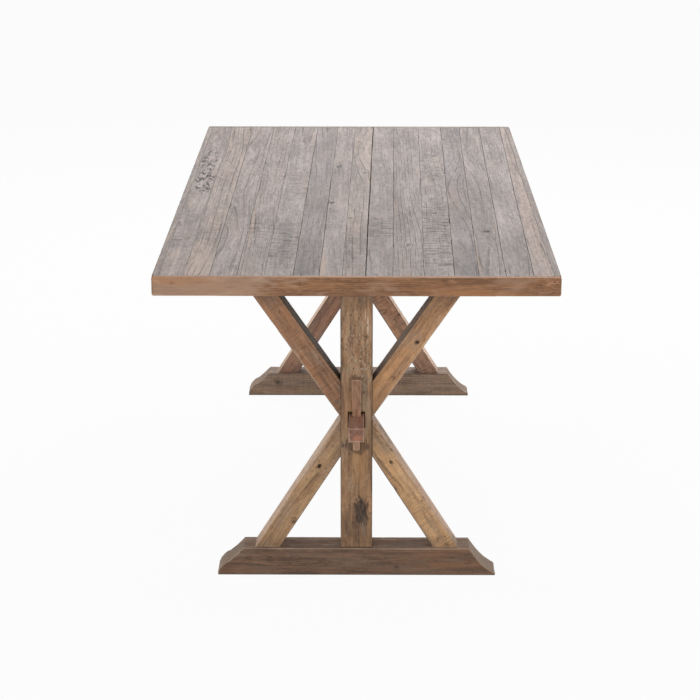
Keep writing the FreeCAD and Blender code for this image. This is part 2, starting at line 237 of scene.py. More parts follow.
class Grain:
    """One value or colour that varies over a timber, held by a socket in its material's nodes. Sums,
    differences and products of values add their own Math nodes."""

    def __init__(self, tree, socket=None):
        self.tree = tree
        self.socket = socket

    def node(self, kind, settings, sockets, output=0):
        """Adds a node of any type: first its settings, then the value or the link of each socket."""
        node = self.tree.nodes.new(kind)
        for setting, value in settings.items():
            setattr(node, setting, value)
        for key, value in sockets.items():
            if isinstance(value, Grain):
                self.tree.links.new(value.socket, node.inputs[key])
            else:
                node.inputs[key].default_value = value
        return Grain(self.tree, node.outputs[output] if node.outputs else None)

    def math(self, operation, *values):
        """Adds one Math node."""
        return self.node("ShaderNodeMath", {"operation": operation}, dict(enumerate(values)))

    def __add__(self, other):
        return self.math("ADD", self, other)

    def __radd__(self, other):
        return self.math("ADD", other, self)

    def __sub__(self, other):
        return self.math("SUBTRACT", self, other)

    def __rsub__(self, other):
        return self.math("SUBTRACT", other, self)

    def __mul__(self, other):
        return self.math("MULTIPLY", self, other)

    def __rmul__(self, other):
        return self.math("MULTIPLY", other, self)

    def step(self, low, high):
        """0 up to low, 1 from high on, with a smooth step between. With low above high it falls instead."""
        return self.node("ShaderNodeMapRange", {"interpolation_type": "SMOOTHSTEP"},
                         {"Value": self, "From Min": low, "From Max": high})

    def blend(self, under, over):
        """The colour under where this value is 0, and the colour over where it is 1. Sockets 6 and 7 are the
        node's two colours, and its output 2 is their mix."""
        settings = {"data_type": "RGBA", "clamp_factor": True}
        return self.node("ShaderNodeMix", settings, {0: self, 6: under, 7: over}, output=2)

    def field(self, name):
        """A number that the mesh holds at each of its points."""
        return self.node("ShaderNodeAttribute", {"attribute_name": name}, {}, output="Fac")


def new_material(name):
    """A material that has no nodes yet, and the value that its nodes start from."""
    material = bpy.data.materials.new(name)
    material.use_nodes = True
    material.node_tree.nodes.clear()
    return material, Grain(material.node_tree)


def tone(red, green, blue):
    """A colour as a paint chip gives it, from 0 to 255, turned into the linear light that a shader takes."""
    chip = np.array([red, green, blue]) / 255.0
    linear = np.where(chip <= 0.04045, chip / 12.92, ((chip + 0.055) / 1.055) ** 2.4)
    return (*linear.tolist(), 1.0)


# the dark tone of grime in cracks and old holes, and of the painted shade that the dark field holds
dirt_and_shade_tone = tone(40, 32, 28)  # dirt in cracks and old holes


def timber_finish(name, seed, turn, pale, deep, warm, rubbed, end_grain, up_tones=None, ash=None, rings=1.0,
                  cracks=0.2, flaws=(), kerfs=(70.0, 3.6)):
    """Old timber. Growth rings follow the mesh's growth field, and fibres, specks, mottling, clouds and pores
    are noise drawn out along the grain. Seams and checks are thin lines along every second ring, here and
    there. turn brings the bar's own length upright, so that the grain runs along the local Z. Faces that look
    up take a second pair of tones, where one is given: on the braces it is painted light on the lower ones
    and painted shade on the upper ones, under the table top, and elsewhere it is the tone that sun and wear
    have given the tops. ash is a grey veil in patches, where it is given. flaws names the masks of the mesh
    that stand for sawn, wormy or pitted stretches, and kerfs are the length and the pitch of the saw's marks,
    which run across the grain. All the tones are paint chips."""
    material, wood = new_material(name)
    pale, deep, warm, rubbed, end_grain = (tone(*chip) for chip in (pale, deep, warm, rubbed, end_grain))
    place = wood.node("ShaderNodeTexCoord", {}, {}, "Object")
    upright = wood.node("ShaderNodeMapping", {},
                        {"Vector": place, "Rotation": turn, "Scale": (PER_METRE, PER_METRE, PER_METRE)})

    def streaks(across, along, detail=2.0, sharp=0.5):
        """Noise from about -0.3 to 0.3 whose lumps are so many millimetres across and along the grain."""
        offset = (seed * 3.7 + across, seed * 1.9 + along, seed * 5.3)
        spot = wood.node("ShaderNodeVectorMath", {"operation": "MULTIPLY_ADD"},
                         {0: upright, 1: (1 / across, 1 / across, 1 / along), 2: offset})
        lumps = {"Vector": spot, "Scale": 1.0, "Detail": detail, "Roughness": sharp}
        return wood.node("ShaderNodeTexNoise", {}, lumps) - 0.5

    def hairline(across, along, core, rim, detail=2.0):
        """Thin lines where such a noise is near 0: full up to core on either side of it, and gone at rim."""
        return wood.math("ABSOLUTE", streaks(across, along, detail)).step(rim, core)

    fields = ("growth", "dark", "worn", "cut", "open")
    growth, dark, worn, cut, faces_up = (wood.field(field) for field in fields)
    fibre = streaks(2.6, 80.0, 4.0, 0.6)
    speck = streaks(2.4, 4.5, 2.0, 0.6)
    mottle = streaks(6.0, 22.0, 3.0, 0.6)
    cloud = streaks(18.0, 150.0, 2.0)
    patch = streaks(34.0, 240.0, 2.0)
    ring = wood.math("FRACT", growth + fibre * 0.4)
    late = ring.step(0.25, 0.85) * ring.step(1.0, 0.9)
    seam = wood.math("ABSOLUTE", wood.math("FRACT", growth * 0.5 + mottle * 0.2) - 0.5).step(0.09, 0.02)
    broken = streaks(14.0, 170.0, 1.0)
    check = seam * broken.step(0.14 - 0.24 * cracks, 0.24 - 0.24 * cracks)
    pore = streaks(0.9, 7.0, 1.0).step(0.13, 0.27)
    mix = 0.5 + fibre * 1.3 + speck * 0.8 + mottle * 1.2 + cloud * 1.4 - late * (0.24 * rings) - seam * 0.18
    colour = mix.blend(deep, pale)
    if ash:
        veil = streaks(22.0, 75.0, 3.0).step(0.0, 0.16) * 0.35 + wood.field("ashen")
        colour = veil.blend(colour, tone(*ash))
    # faces that look up take the second pair of tones: on the braces these are painted light and painted
    # shade
    if up_tones:
        blotch = streaks(9.0, 34.0, 3.0, 0.7) * 1.3 + streaks(45.0, 330.0) * 1.3
        shaded, lit = (tone(*chip) for chip in up_tones)
        colour = faces_up.blend(colour, (mix + blotch).blend(shaded, lit))
    colour = (patch.step(-0.02, 0.22) * (0.5 - faces_up * 0.3)).blend(colour, warm)
    colour = (cut * (0.72 + mottle * 1.6)).blend(colour, end_grain)
    colour = (wood.field("warm") * (0.8 + mottle * 2.0)).blend(colour, warm)
    colour = (worn * (0.7 + fibre * 1.5)).blend(colour, rubbed)
    # dark holds grime and painted shade alike, and goes towards the dark tone with the pores, checks and
    # flaws
    dirt_and_shade = pore * 0.3 + check * 0.38 + dark * 1.1
    relief = fibre * 0.35 + speck * 0.15 + mottle * 0.25 + late * 0.12 - pore * 0.25 - check * 0.6
    flaw_lines = {
        "sawn": lambda: (hairline(kerfs[0] * 1.4, kerfs[1], 0.015, 0.05) * 0.4
                         + streaks(*kerfs).step(0.0, 0.2) * 0.3),
        "wormy": lambda: hairline(13.0, 42.0, 0.03, 0.07, 3.0) * streaks(12.0, 36.0).step(-0.06, 0.04),
        "pitted": lambda: streaks(2.4, 8.0).step(0.04, 0.18) * streaks(9.0, 24.0).step(-0.1, 0.1) * 0.6,
    }
    for flaw in flaws:
        trace = flaw_lines[flaw]() * wood.field(flaw)
        dirt_and_shade = dirt_and_shade + trace
        relief = relief - trace
    colour = dirt_and_shade.blend(colour, dirt_and_shade_tone)
    bump = wood.node("ShaderNodeBump", {}, {"Height": relief, "Distance": 1.0 / PER_METRE, "Strength": 0.8})
    rough = 0.62 + cloud * 0.2 - late * 0.05 + dark * 0.2 - worn * 0.08
    looks = {"Base Color": colour, "Roughness": rough, "Normal": bump, "Specular IOR Level": 0.35}
    skin = wood.node("ShaderNodeBsdfPrincipled", {}, looks)
    wood.node("ShaderNodeOutputMaterial", {}, {"Surface": skin})
    return material


def fit(piece, material, body, node):
    """Gives a finished piece its material, lets it ride on its body, and lets it stand for its solid."""
    piece.data.materials.append(material)
    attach(piece, body)
    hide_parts(node)


def cross_at(level):
    """An end that is cut square across the bar at one level."""
    return lambda a, b: np.full(np.broadcast(a, b).shape, float(level))


ENDS = {"front": -1, "rear": 1}  # each end of the table, and the way along Y that it faces
foot_shoulder_in = 61.5  # where the flat top begins
# each ogee's upright nose, how far in and how high its bulge meets its hollow, and how far the bulge and the
# hollow leave their chords
full_ogee = (9.0, 26.0, 35.0, 3.3, 1.2)
lean_ogee = (4.6, 6.0, 9.2, 0.6, 5.2)
even_ogee = (9.0, 13.0, 20.0, 1.8, 3.6)
foot_arris = 2.2


def bowed(place, start, stop, sag):
    """Height over a place on the chord between two points, and over that a parabola whose middle stands off
    the chord by the sag, measured square to it."""
    run, rise = stop[0] - start[0], stop[1] - start[1]
    share = np.clip((place - start[0]) / run, 0.0, 1.0)
    return start[1] + rise * share + 4.0 * sag * math.hypot(run, rise) / run * share * (1.0 - share)


def ogee_height(from_tip, height, ogee):
    """Height of a foot over its underside, so far in from its tip: first a bulge, then a hollow, then the
    flat top."""
    nose, *waist, bulge, hollow = ogee
    lower = bowed(from_tip, (0.0, nose), waist, bulge)
    upper = bowed(from_tip, waist, (foot_shoulder_in, height), -hollow)
    return np.where(from_tip < waist[0], lower, upper)


def ogee_stations(length, pitch, fine_pitch=2.2, past_shoulder=8.0):
    """Shares of a foot's length: close together over the two ogees, and a pitch apart between them."""
    curve = np.concatenate([[0.0, 2.6], np.arange(4.0, foot_shoulder_in + past_shoulder, fine_pitch)])
    flat = np.linspace(curve[-1] + pitch, length - curve[-1] - pitch, int((length - 2 * curve[-1]) / pitch))
    return np.concatenate([curve, flat, length - curve[::-1]]) / length


def shaped_bar(node, axes, seed, pith, knots, marks, wear, rough=1.0, sawn=0.0, ogees=(even_ogee, even_ogee)):
    """A foot, or a bearer, which is the same shape upside down: the height of the section follows the ogee
    that the bar has at each of its ends."""
    low, high = timber_box(node)
    length, depth, height = high - low
    base = low[2] if axes[0][2] > 0 else high[2]
    origin = ((low[0] + high[0]) / 2, (low[1] + high[1]) / 2, base)

    def outline(share, place):
        along = share * length
        first, last = (ogee_height(tip, height, ogee) for tip, ogee in zip((along, length - along), ogees))
        return 0.0, np.minimum(first, last), -depth / 2, depth / 2

    points, from_faces = carry(ogee_stations(length, 4.0), outline, (34, 30, 34, 30), foot_arris, 1.6,
                               cross_at(-length / 2), cross_at(length / 2))
    inner_side = step(-points[..., 1], 0.0, depth / 2)
    # the arrises of the inner side are darkened as painted shade, and rubbed less
    sunk, fields = weather(points, from_faces, axes, seed, pith, 4.4, knots, marks, wear, rough,
                           0.85 * inner_side)
    fields["pitted"] = step(noise(seed + 9, points, 60.0, 130.0), -0.3, 0.5) * 0.7
    fields["sawn"] = step(noise(seed + 10, points, 60.0, 170.0), -0.6, 0.4) * sawn
    from_base = points[..., 0]
    # painted contact shadow: the 5 mm next to the face that bears on the floor or the boards are darkened
    fields["dark"] = np.maximum(fields["dark"], 0.45 * (1.0 - step(from_base, 1.0, 5.0)))
    sunk = sunk * step(from_base, 0.0, 6.0)  # the face that bears on the floor or the boards stays flat
    return make_piece(node, points, sunk, fields, axes, origin)


# each foot's pale, deep and warm tones, and its grey veil
foot_tones = {
    "front": ((128, 97, 75), (80, 58, 43), (132, 92, 62), (114, 96, 81)),
    "rear": ((174, 145, 122), (122, 99, 82), (166, 130, 98), (152, 136, 120)),
}
for end, way in ENDS.items():
    axes = ((0, 0, 1), (0, way, 0), (1, 0, 0))
    foot_knots = [(40.0, 37.0, -205.0, 7.0, 0.3), (22.0, 37.0, 96.0, 5.0, 0.2),
                  (40.0, -37.0, -238.0, 9.0, 0.2)]
    foot_marks = [(30.0, 37.0, 262.0, 3.0, 12.0, 6.0, 0.8, 0.4),
                  (12.0, 37.0, -140.0, 2.5, 9.0, -5.0, 0.6, 0.4),
                  (68.0, 0.0, -190.0, 60.0, 110.0, 0.0, 0.0, 0.2)]
    foot = shaped_bar("foot_" + end, axes, 100 + 10 * way, (15.0, -70.0), foot_knots, foot_marks, 5.0, 1.4,
                      0.3 + 0.15 * way, (full_ogee, lean_ogee))
    pale, deep, warm, ash = foot_tones[end]
    finish = timber_finish("old_foot_" + end, 3.0 + way, (0, -math.pi / 2, 0), pale, deep, warm,
                           (172, 146, 124), (150, 128, 108),
                           ((132, 109, 94), (184, 160, 142)), ash, flaws=("pitted", "sawn"))
    fit(foot, finish, "table", "foot_" + end)


# ---- Posts ---------------------------------------------------------------------------------------
# An upright of old softwood, 75 by 66 mm, with a stub tenon glued into the foot and another into the bearer.
# The stretcher's tenon passes through a mortise cut a little too high, which leaves a dark gap above it.

post_tenon = (20.0, 12.5)  # half width and half depth of the stub tenons
post_arris = 2.0
mortise_half_width = 20.0
mortise_levels = (366.0, 405.0)
shoulder_step = 0.01  # a square shoulder lies between two rings, so far on either side of it
overcut = 5.0  # how far a cutter reaches beyond the piece


def cut_away(piece, cutters):
    """Cuts closed shapes out of a piece, and keeps what is left as its mesh. Each cutter is a list of corners
    and a list of faces, in millimetres."""
    for corners, faces in cutters:
        mesh = bpy.data.meshes.new("cutter")
        mesh.from_pydata(np.array(corners) / PER_METRE, [], faces)
        tool = bpy.data.objects.new("cutter", mesh)
        bpy.context.scene.collection.objects.link(tool)
        saw = piece.modifiers.new("cut", "BOOLEAN")
        saw.object = tool
        saw.solver = "EXACT"
        whole = piece.evaluated_get(bpy.context.evaluated_depsgraph_get())
        piece.data = bpy.data.meshes.new_from_object(whole)
        piece.modifiers.clear()
        bpy.data.objects.remove(tool)
        bpy.data.meshes.remove(mesh)


def block(low, high):
    """A cutter with square corners: the eight corners between low and high, and its six faces."""
    corners = [(x, y, z) for x in (low[0], high[0]) for y in (low[1], high[1]) for z in (low[2], high[2])]
    return corners, [(0, 1, 3, 2), (4, 6, 7, 5), (0, 4, 5, 1), (2, 3, 7, 6), (0, 2, 6, 4), (1, 5, 7, 3)]


foot_top = timber_box("foot_front")[1][2]
bearer_underside = timber_box("bearer_front")[0][2]
for end, way in ENDS.items():
    low, high = timber_box("post_" + end)
    width, depth, _ = high - low
    middle_y = (low[1] + high[1]) / 2
    axes = ((1, 0, 0), (0, way, 0), (0, 0, 1))

    def outline(share, place):
        """The full section between the foot and the bearer, and the stub tenons beyond them."""
        level = low[2] + share * (high[2] - low[2])
        full = (level > foot_top) & (level < bearer_underside)
        half_width = np.where(full, width / 2, post_tenon[0])
        half_depth = np.where(full, depth / 2, post_tenon[1])
        return -half_width, half_width, -half_depth, half_depth

    levels = np.concatenate([[low[2], foot_top - shoulder_step],
                             np.arange(foot_top + shoulder_step, bearer_underside, 3.8),
                             [bearer_underside - shoulder_step, bearer_underside + shoulder_step, high[2]]])
    points, from_faces = carry((levels - low[2]) / (high[2] - low[2]), outline, (30, 44, 30, 44), post_arris,
                               1.0, cross_at(low[2]), cross_at(high[2]))
    front = depth / 2
    knot_rise = 68.0 if end == "rear" else 0.0  # the big burnt knot is higher in the rear post
    knots = [(-14.0 * way, front, 156.0 + knot_rise, 9.0, 0.6), (-20.0, -front, 540.0, 9.0, 0.4),
             (24.0, front, 585.0, 4.0, 0.3)]
    marks = [(-11.0 * way, front, 158.0 + knot_rise, 22.0, 41.0, 2.0, 0.3, 0.9),
             (-6.0 * way, front, 104.0 + knot_rise, 20.0, 38.0, 0.0, 0.3, 0.5),
             (-31.0, front, 540.0, 3.0, 40.0, 0.0, 0.5, 0.4),
             (0.0, front, 319.0, 40.0, 19.0, 0.0, 0.0, 0.65 - 0.15 * way),
             (0.0, front, 92.0, 70.0, 110.0, 0.0, 0.0, 0.42),
             (0.0, front, 250.0, 70.0, 140.0, 0.0, 0.0, 0.18),
             # painted shade: the next two marks darken the post on either side of the wedge
             (19.0, front, 455.0, 9.0, 54.0, 0.0, 0.0, 0.3),
             (-19.0, front, 455.0, 8.0, 50.0, 0.0, 0.0, 0.2),
             (0.0, front, 672.0, 60.0, 26.0, 0.0, 0.0, 0.25)]
    marks += [(a, front, 660.0, 1.4, 20.0, 0.0, 0.4, 0.5) for a in (9.0, 16.0, 23.0, 30.0)]
    # every arris of the post is darkened as painted shade, and rubbed less
    sunk, fields = weather(points, from_faces, axes, 200 + 10 * way, (-30.0, -90.0), 4.2, knots, marks, 4.5,
                           1.3, 0.8)
    fields["pitted"] = soft_patches(points, [
        (0.0, front, 560.0, 50.0, 150.0, 1.2), (8.0, front, 170.0, 24.0, 60.0, 1.0),
        (-12.0, front, 240.0, 16.0, 50.0, 0.5)])
    flecks = step(noise(230, points, 3.0, 4.5), 0.1, 0.4)
    fields["ashen"] = soft_patches(points, [
        (22.0, front, 400.0, 16.0, 70.0, 0.5), (18.0, front, 118.0, 7.0, 40.0, 0.35)])
    fields["ashen"] += flecks * soft_patches(points, [
        (8.0, front, 505.0, 36.0, 62.0, 0.9), (0.0, front, 600.0, 38.0, 60.0, 0.5),
        (-12.0, front, 223.0, 13.0, 22.0, 0.9)])
    fields["worn"] += soft_patches(points, [
        (26.0, front, 612.0, 3.0, 24.0, 1.2), (20.0, front, 636.0, 2.4, 16.0, 0.9)])
    post = make_piece("post_" + end, points, sunk, fields, axes, (0.0, middle_y, 0.0))
    cut_away(post, [block((-mortise_half_width, low[1] - overcut, mortise_levels[0]),
                          (mortise_half_width, high[1] + overcut, mortise_levels[1]))])
    finish = timber_finish("old_post_" + end, 11.0 + way, (0, 0, 0), (178, 138, 102), (112, 82, 57),
                           (178, 132, 82), (198, 170, 144), (120, 92, 70),
                           ash=(164, 142, 118), cracks=0.3, flaws=("pitted",))
    fit(post, finish, "table", "post_" + end)


# ---- Bearers -------------------------------------------------------------------------------------
# The bar of old softwood on top of each trestle, cut like the foot but longer, and upside down. Screws go up
# through it into the boards, seven in the front one and six in the rear. Counterbores take their heads.

counterbore_radius = 5.5


def screw_places(node, way=0):
    """Where the screws of a node stand, on one side of the table's middle or on both: the middles of the
    groups of its points that lie apart along X."""
    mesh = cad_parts[node].data
    spots = np.zeros(len(mesh.vertices) * 3)
    mesh.vertices.foreach_get("co", spots)
    spots = spots.reshape(-1, 3) * PER_METRE
    spots = spots[spots[:, 1] * way >= 0]
    spots = spots[np.argsort(spots[:, 0])]
    groups = np.split(spots, np.flatnonzero(np.diff(spots[:, 0]) > 5.0) + 1)
    return [((group.min(0) + group.max(0)) / 2)[:2] for group in groups]


def bore(spot, low, high, radius, sides=20):
    """A round upright cutter: two rings of corners, and the faces between and over them."""
    turn = np.arange(sides) * 2 * math.pi / sides
    ring = np.stack([spot[0] + radius * np.cos(turn), spot[1] + radius * np.sin(turn)], 1)
    corners = [(x, y, z) for z in (low, high) for x, y in ring]
    walls = [(i, (i + 1) % sides, (i + 1) % sides + sides, i + sides) for i in range(sides)]
    return corners, walls + [tuple(range(sides))[::-1], tuple(range(sides, 2 * sides))]


screw_head_height = 3.0


def sink_screws(piece, node, screws, way=0):
    """Bores the counterbore of each screw into the underside of a piece, up to the seat of its head."""
    seat = timber_box(screws)[0][2] + screw_head_height
    underside = timber_box(node)[0][2] - overcut
    cut_away(piece, [bore(spot, underside, seat, counterbore_radius) for spot in screw_places(screws, way)])


for end, way in ENDS.items():
    axes = ((0, 0, -1), (0, way, 0), (1, 0, 0))
    bearer = shaped_bar("bearer_" + end, axes, 300 + 10 * way, (20.0, -60.0), [(30.0, 37.0, 160.0, 7.0, 0.2)],
                        [(20.0, 37.0, -90.0, 2.0, 14.0, 5.0, 0.5, 0.5)], 3.0)
    sink_screws(bearer, "bearer_" + end, "bearer_screws", way)
    finish = timber_finish("old_bearer_" + end, 17.0 + way, (0, -math.pi / 2, 0), (140, 112, 90),
                           (100, 76, 58), (146, 106, 74), (160, 134, 112), (120, 94, 74),
                           ash=(128, 112, 98))
    fit(bearer, finish, "table", "bearer_" + end)


# ---- Braces --------------------------------------------------------------------------------------
# Eight half braces of mixed old softwood, 50 by 58 mm. Each is cut level against the foot or the bearer and
# upright against the post, and held by hidden dowels, so that the four on a trestle read as one cross.

brace_width = 50.0
brace_arris = 1.8
brace_let_in = 1.5  # each end is let so far into what it meets, so that no light shows through the joint
# each brace's pale, deep and warm tones
brace_tones = {
    "front_lower_left": ((186, 150, 112), (135, 103, 73), (184, 138, 92)),
    "front_lower_right": ((216, 174, 130), (160, 124, 89), (206, 158, 106)),
    "front_upper_left": ((180, 134, 99), (114, 81, 58), (184, 122, 78)),
    "front_upper_right": ((202, 155, 112), (132, 96, 66), (200, 146, 94)),
    "rear_lower_left": ((192, 151, 126), (128, 95, 77), (190, 134, 102)),
    "rear_lower_right": ((214, 168, 138), (150, 113, 89), (208, 150, 110)),
    "rear_upper_left": ((172, 142, 120), (116, 90, 74), (170, 128, 98)),
    "rear_upper_right": ((182, 146, 114), (122, 92, 68), (182, 132, 90)),
}
# the pair of tones of the sides that look up: painted light on the lower braces, painted shade on the upper
# ones
brace_lit_and_shaded_tops = {
    "lower_left": ((208, 174, 146), (252, 222, 196)),
    "lower_right": ((208, 172, 144), (252, 220, 194)),
    "upper_left": ((112, 98, 88), (152, 136, 122)),
    "upper_right": ((146, 124, 108), (192, 168, 148)),
}
# nail holes, knots and dents on the outer face: how far across from the outer edge, how far along from the
# foot or the bearer, their radius and their depth
brace_knots = {
    "front_lower_left": [(-20.5, 252.0, 4.2, 4.0), (-42.0, 106.0, 7.0, 0.4)],
    "front_lower_right": [(-19.5, 264.0, 4.0, 2.5), (-47.0, 202.0, 4.0, 1.5), (-47.5, 210.0, 3.0, 1.0)],
    "front_upper_left": [(-28.0, 64.0, 4.0, 0.5)],
    "front_upper_right": [(-19.0, 147.0, 4.2, 4.0), (-16.0, 250.0, 5.0, 0.3)],
}
# how dark the end at the post is painted as shade, how strong the saw's marks are, and how far apart
brace_post_shade = {"front_lower_right": 0.3, "front_upper_left": 0.16}
brace_sawn = {"front_upper_left": 0.7, "front_lower_right": 0.6, "rear_lower_right": 0.85,
              "rear_lower_left": 0.4}
brace_kerfs = {"rear_lower_right": 7.0, "rear_upper_left": 6.0}


def make_brace(node, seed):
    """A bar from the foot or the bearer to the post. Its width runs in from the outer edge, which joins the
    far corners of the solid's box, and each end is cut where the bar meets the level or the upright face."""
    brace = node.removeprefix("brace_")
    end, height, hand = brace.split("_")
    low, high = timber_box(node)
    way, side, lift = ENDS[end], 1 if hand == "right" else -1, 1 if height == "lower" else -1
    far = np.array([high[0] if side > 0 else low[0], (low[1] + high[1]) / 2, low[2] if lift > 0 else high[2]])
    near = np.array([low[0] if side > 0 else high[0], far[1], high[2] if lift > 0 else low[2]])
    brace_length = np.linalg.norm(near - far)
    grain = (near - far) / brace_length
    across = np.array([side * abs(grain[2]), 0.0, lift * abs(grain[0])])
    axes = np.array([across, (0.0, way, 0.0), grain])
    half_depth = (high[1] - low[1]) / 2
    points, from_faces = carry(
        np.linspace(0.0, 1.0, 96), lambda share, place: (-brace_width, 0.0, -half_depth, half_depth),
        (22, 28, 22, 28), brace_arris, 0.6,
        lambda a, b: -a * across[2] / grain[2] - brace_let_in,
        lambda a, b: (near[0] - far[0] - a * across[0]) / grain[0] + brace_let_in)
    spots = [(a, half_depth, g, radius, hollow) for a, g, radius, hollow in brace_knots.get(brace, ())]
    dents = np.random.default_rng(seed)
    marks = [(dents.uniform(-42, -8), half_depth * dents.choice([-1, 1]), dents.uniform(30, 310),
              dents.uniform(1.5, 3.5), dents.uniform(4, 12), dents.normal(0, 8), 0.5, dents.uniform(0.2, 0.5))
             for _ in range(8)]
    post_side = 1.0 - step(points[..., 0], -brace_width, -0.6 * brace_width)
    inner_side = step(-points[..., 1], 0.0, half_depth)
    # the arrises on the inner side and along the edge nearer the post are darkened as painted shade, and
    # rubbed less
    sunk, fields = weather(points, from_faces, axes, seed, (-60.0 * dents.random(), -70.0), 4.0, spots, marks,
                           5.5, 1.2, 0.85 * np.maximum(post_side, inner_side))
    pale, deep, warm = brace_tones[brace]
    turn = (0.0, -math.atan2(grain[0], grain[2]), 0.0)
    finish = timber_finish("old_" + node, float(seed % 89), turn, pale, deep, warm, (196, 168, 144),
                           (120, 92, 70), brace_lit_and_shaded_tops[height + "_" + hand], (150, 130, 114),
                           cracks=0.15, flaws=("pitted", "sawn"), kerfs=(50.0, brace_kerfs.get(brace, 2.6)))
    fields["pitted"] = 0.8 * step(noise(seed + 9, points, 40.0, 120.0), -0.1, 0.6)
    fields["sawn"] = brace_sawn.get(brace, 0.3) * step(noise(seed + 10, points, 60.0, 120.0), -0.8, 0.4)
    rubbing = noise(seed + 11, points, 15.0, 40.0)
    # painted shade: each end is darkened where the brace meets the foot, the bearer or the post, and some
    # more towards the post
    end_shade = 1.0 - step(from_faces[..., 2], 2.0, 60.0 + 24.0 * rubbing)
    toward_post = step(points[..., 2] / brace_length, 0.55, 0.95) * (0.75 + 0.5 * rubbing)
    painted_end_shade = np.maximum(0.24 * end_shade, brace_post_shade.get(brace, 0.0) * toward_post)
    fields["dark"] = np.maximum(fields["dark"], painted_end_shade)
    fit(make_piece(node, points, sunk, fields, axes, far), finish, "table", node)


for index, name in enumerate(brace_tones):
    make_brace("brace_" + name, 401 + 13 * index)


# ---- Stretcher -----------------------------------------------------------------------------------
# One rail of old softwood ties the trestles together. Each end is shouldered down to a tenon that passes
# through the post, and is slotted for its wedge. The end grain is reddish, and its chamfer is rubbed pale.

rail_arris = 1.5
tenon_half = (17.0, 18.0)  # half height and half width
tenon_chamfer = 3.0
slot_relief = 6.0  # how far the slot reaches inside the post
slot_clearance = 0.3
wedge_bottom = (16.0, 15.0)  # width and depth
wedge_top = (23.0, 27.0)


def wedge_section(share):
    """A wedge's width and depth at a share of its height: both grow evenly from its bottom to its top."""
    return (bottom + share * (top - bottom) for bottom, top in zip(wedge_bottom, wedge_top))


low, high = timber_box("stretcher")
shoulder = timber_box("post_rear")[0][1]
post_face = timber_box("post_rear")[1][1]
middle = (low + high) / 2
rail_half = (high - low) / 2
axes = ((0, 0, 1), (1, 0, 0), (0, 1, 0))


def rail_outline(share, place):
    """The full section between the shoulders, and the tenons beyond them."""
    full = np.abs(low[1] + share * (high[1] - low[1])) < shoulder
    half_height = np.where(full, rail_half[2], tenon_half[0])
    half_width = np.where(full, rail_half[0], tenon_half[1])
    return -half_height, half_height, -half_width, half_width


tenon = np.concatenate([np.arange(shoulder + shoulder_step, high[1] - 4.0, 3.5), [high[1]]])
rail = np.linspace(shoulder_step - shoulder, shoulder - shoulder_step, 300)
places = np.concatenate([-tenon[::-1], rail, tenon])
points, from_faces = carry((places - low[1]) / (high[1] - low[1]), rail_outline, (22, 34, 22, 34), rail_arris,
                           tenon_chamfer, cross_at(low[1]), cross_at(high[1]))
knots = [(10.0, 22.0, -380.0, 8.0, 0.3), (-18.0, 22.0, 210.0, 6.0, 0.2), (-5.0, -22.0, 90.0, 7.0, 0.3)]
sunk, fields = weather(points, from_faces, axes, 600, (8.0, -6.0), 3.6, knots, (), 5.0)
fields["warm"] = soft_patches(points, [(-6.0, 2.0, way * high[1], 9.0, 14.0, 0.7) for way in ENDS.values()])
stretcher = make_piece("stretcher", points, sunk, fields, axes, middle * (1, 0, 1))
for end, way in ENDS.items():
    wedge_low, wedge_high = timber_box("wedge_" + end)
    level = middle[2] + tenon_half[0]
    width, depth = wedge_section((level - wedge_low[2]) / (wedge_high[2] - wedge_low[2]))
    wedge_face = wedge_low[1] if way > 0 else wedge_high[1]
    walls = sorted([way * (post_face - slot_relief), wedge_face + way * (depth + slot_clearance)])
    half_width = width / 2 + slot_clearance
    cut_away(stretcher, [block((-half_width, walls[0], low[2]), (half_width, walls[1], high[2]))])
finish = timber_finish("old_stretcher", 23.0, (math.pi / 2, 0, 0), (176, 138, 112), (122, 90, 70),
                       (176, 114, 84), (216, 182, 162), (104, 66, 53),
                       ((134, 98, 82), (178, 138, 118)))
fit(stretcher, finish, "table", "stretcher")


# ---- Wedges --------------------------------------------------------------------------------------
# A tapered key of reddish hardwood driven down through each tenon against the post. It grows wider and deeper
# towards its top, and is lifted out to take the table apart.

wedge_arris = 1.5

for end, way in ENDS.items():
    low, high = timber_box("wedge_" + end)
    axes = ((1, 0, 0), (0, way, 0), (0, 0, 1))
    inner_face = low[1] if way > 0 else high[1]

    def outline(share, place):
        """Both sides and the outer face lean out towards the top; the inner face is upright."""
        width, depth = wedge_section(share)
        return -width / 2, width / 2, 0.0, depth

    margin = 2.0 * wedge_arris / (high[2] - low[2])
    shares = np.concatenate([[0.0], np.linspace(margin, 1.0 - margin, 60), [1.0]])
    points, from_faces = carry(shares, outline, (18, 18, 18, 18), wedge_arris, wedge_arris,
                               cross_at(low[2]), cross_at(high[2]))
    sunk, fields = weather(points, from_faces, axes, 700 + 10 * way, (0.0, -30.0), 3.0, (), (), 2.2, 0.5)
    # painted light: the wedge's lowest 30 to 60 mm go towards the rubbed tone, so that the tip under the
    # tenon looks lit
    lit_tip = 0.3 * (1.0 - step(points[..., 2], low[2] + 30.0, low[2] + 60.0))
    fields["worn"] = np.maximum(fields["worn"], lit_tip)
    wedge = make_piece("wedge_" + end, points, sunk, fields, axes, (0.0, inner_face, 0.0))
    # the pale end grain is painted light on the wedge's top, which stands under the table top
    finish = timber_finish("wedge_wood_" + end, 29.0 + way, (0, 0, 0), (166, 124, 97), (114, 81, 61),
                           (168, 110, 78), (206, 172, 148), (196, 162, 138))
    fit(wedge, finish, "wedge_" + end, "wedge_" + end)


# ---- Dowels --------------------------------------------------------------------------------------
# Fluted beech pins glued into the ends of the braces. They are hidden once the trestle is together.

